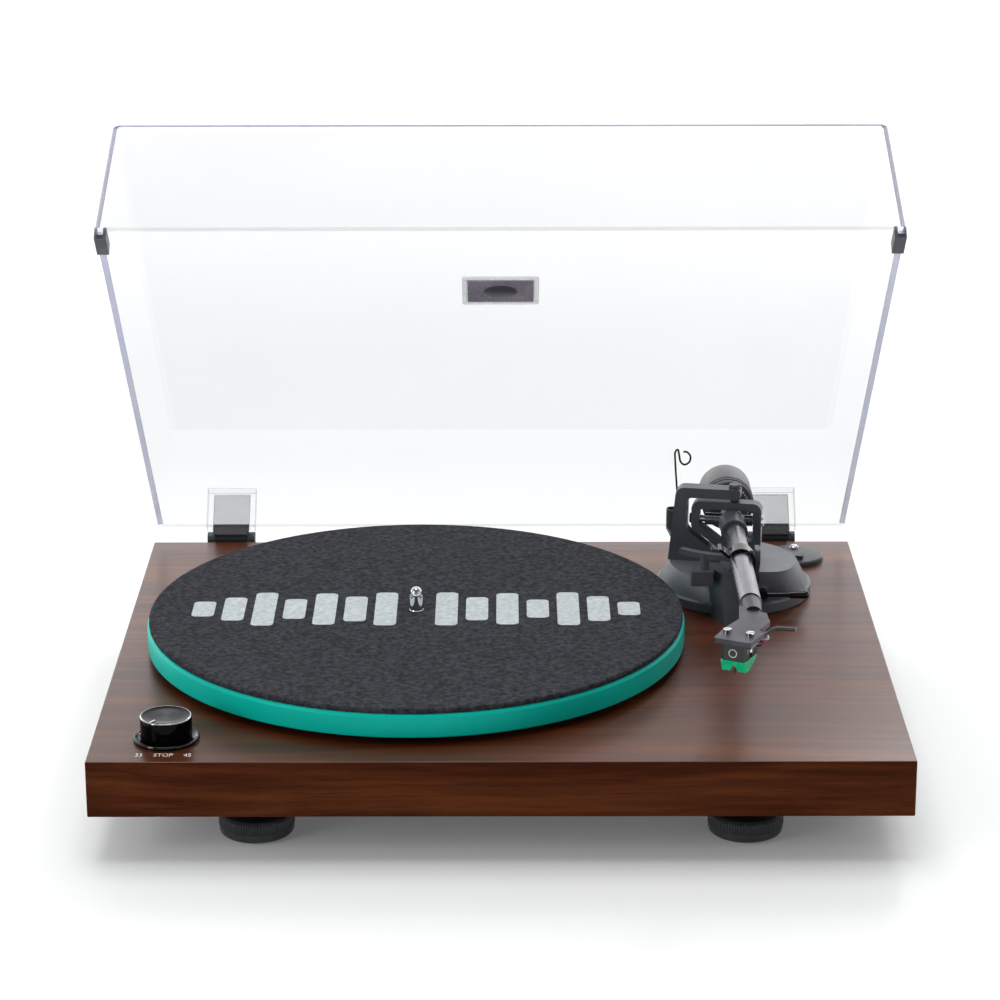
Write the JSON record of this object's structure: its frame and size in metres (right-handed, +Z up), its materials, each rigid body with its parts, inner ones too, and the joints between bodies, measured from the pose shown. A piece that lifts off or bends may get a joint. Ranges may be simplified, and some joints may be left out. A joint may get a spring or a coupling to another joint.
{
  "type": "turntable record player",
  "caption": "Belt-drive record player with a walnut plinth, teal platter under a felt mat, gimbal tonearm, speed knob, levelling feet and a hinged clear lid that stands open.",
  "frame": {"origin": "centre of the bounding box's bottom face, on the floor under the feet, with the lid standing open", "axes": "+X to the user's right, +Y towards the hinges at the back, +Z up"},
  "size_m": [0.4256, 0.3956, 0.3552],
  "materials": {
    "walnut": "satin lacquered walnut veneer",
    "dark_board": "black painted fibreboard",
    "steel": "zinc plated steel",
    "chrome": "polished chrome",
    "aluminium": "polished aluminium",
    "teal": "teal satin enamel on cast aluminium",
    "felt": "black heathered felt",
    "black_satin": "satin black",
    "black_gloss": "gloss black",
    "grey_metallic": "dark grey bead-blasted anodised aluminium",
    "dark_metal": "satin black enamel on metal",
    "spun_metal": "dark spun cap with a bright chamfer",
    "acrylic": "clear acrylic",
    "badge": "smoked plate in a clear bezel",
    "belt": "matt rubber",
    "brass": "turned brass",
    "pale_metal": "pale grey plated steel",
    "board_green": "printed circuit board",
    "stylus_green": "translucent green plastic",
    "leads": "thin insulated leads in red, white, blue and green"
  },
  "bodies": {
    "root": {"plinth": "walnut", "base_plate": "dark_board", "base_screws": "steel", "motor": "steel", "motor_mount": "black_satin", "bearing_housing": "brass", "drive_belt": "belt", "knob_dish": "black_gloss", "speed_switch": "black_satin", "control_board": "board_green", "rear_panel": "black_satin", "audio_sockets": "chrome", "ground_terminal": "brass", "power_inlet": "black_gloss", "hinge_brackets": "black_satin", "hinge_pins": "steel", "foot_collars": "black_gloss", "tonearm_base": "black_satin", "rest_bracket": "black_satin", "rest_clip": "black_gloss", "cue_housing": "black_satin", "tonearm_nut": "steel", "support_frame": "black_satin", "bearing_screws": "dark_metal", "rear_disc": "black_satin", "antiskate_wire": "black_gloss", "weight_post": "black_satin"},
    "platter_body": {"platter": "teal", "platter_mat": "felt", "spindle": "chrome", "drive_ring": "black_satin"},
    "pulley_body": {"motor_pulley": "brass"},
    "lid": {"lid_shell": "acrylic", "lid_bumpers": "black_satin", "hinge_pockets": "acrylic", "hinge_leaves": "pale_metal", "lid_badge": "badge"},
    "gimbal": {"gimbal_ring": "grey_metallic", "gimbal_screws": "chrome"},
    "arm": {"pivot_barrels": "aluminium", "arm_housing": "black_satin", "arm_tube": "aluminium", "headshell": "grey_metallic", "finger_lift": "grey_metallic", "cartridge_body": "black_gloss", "cartridge_screws": "chrome", "cartridge_leads": "leads", "stylus_unit": "stylus_green", "cantilever": "aluminium", "rear_stub": "steel"},
    "weight": {"counterweight": "dark_metal"},
    "dial": {"force_dial": "black_satin"},
    "lever": {"cue_lever": "black_satin"},
    "lifter": {"lift_bar": "black_satin"},
    "skate_weight": {"antiskate_weight": "dark_metal"},
    "knob": {"speed_knob": "spun_metal"},
    "foot_fl": {"foot_front_left": "black_satin"},
    "foot_fr": {"foot_front_right": "black_satin"},
    "foot_rl": {"foot_rear_left": "black_satin"},
    "foot_rr": {"foot_rear_right": "black_satin"}
  },
  "joints": [
    {"name": "platter_spin", "type": "hinge", "parent": "root", "child": "platter_body", "pos_m": [-0.0474, -0.02602, 0.0693], "axis": [0, 0, 1], "continuous": true},
    {"name": "pulley_spin", "type": "hinge", "parent": "root", "child": "pulley_body", "pos_m": [-0.12101, 0.01648, 0.0643], "axis": [0, 0, 1], "continuous": true},
    {"name": "lid_tilt", "type": "hinge", "parent": "root", "child": "lid", "pos_m": [0, 0.15658, 0.0565], "axis": [-1, 0, 0], "range_deg": [-45.6, 0]},
    {"name": "arm_sweep", "type": "hinge", "parent": "root", "child": "gimbal", "pos_m": [0.1362, 0.06118, 0.1003], "axis": [0, 0, -1], "range_deg": [0, 45], "deforming": ["rest_clip"]},
    {"name": "arm_lift", "type": "hinge", "parent": "gimbal", "child": "arm", "pos_m": [0.1362, 0.06118, 0.1003], "axis": [0.9848, -0.1736, 0], "range_deg": [0, 2.06], "deforming": ["rest_clip"]},
    {"name": "cue_lever_tilt", "type": "hinge", "parent": "root", "child": "lever", "pos_m": [0.1504, 0.01918, 0.0695], "axis": [0, -1, 0], "range_deg": [0, 50]},
    {"name": "lift_bar_slide", "type": "slide", "parent": "root", "child": "lifter", "axis": [0, 0, 1], "range_m": [-0.0036, 0]},
    {"name": "counterweight_slide", "type": "slide", "parent": "arm", "child": "weight", "axis": [0, 0.9998, -0.0206], "range_m": [-0.0015, 0.0015]},
    {"name": "force_dial_turn", "type": "hinge", "parent": "weight", "child": "dial", "pos_m": [0.1345, 0.08917, 0.09973], "axis": [0, 0.9998, -0.0206], "range_deg": [-182, 182]},
    {"name": "antiskate_weight_lift", "type": "slide", "parent": "root", "child": "skate_weight", "axis": [0, 0, 1], "range_m": [0, 0.014]},
    {"name": "speed_knob_turn", "type": "hinge", "parent": "root", "child": "knob", "pos_m": [-0.174, -0.16632, 0.0653], "axis": [0, 0, 1], "range_deg": [0, 70]},
    {"name": "foot_front_left_screw", "type": "slide", "parent": "root", "child": "foot_fl", "axis": [0, 0, 1], "range_m": [-0.005, 0]},
    {"name": "foot_front_right_screw", "type": "slide", "parent": "root", "child": "foot_fr", "axis": [0, 0, 1], "range_m": [-0.005, 0]},
    {"name": "foot_rear_left_screw", "type": "slide", "parent": "root", "child": "foot_rl", "axis": [0, 0, 1], "range_m": [-0.005, 0]},
    {"name": "foot_rear_right_screw", "type": "slide", "parent": "root", "child": "foot_rr", "axis": [0, 0, 1], "range_m": [-0.005, 0]}
  ],
  "couplings": [
    {"joint": "pulley_spin", "follows": "platter_spin", "ratio": 10.667},
    {"joint": "arm_lift", "follows": "cue_lever_tilt", "ratio": 0.041},
    {"joint": "lift_bar_slide", "follows": "cue_lever_tilt", "m_per_rad": -0.00401},
    {"joint": "force_dial_turn", "follows": "counterweight_slide", "rad_per_m": 2094.4}
  ]
}
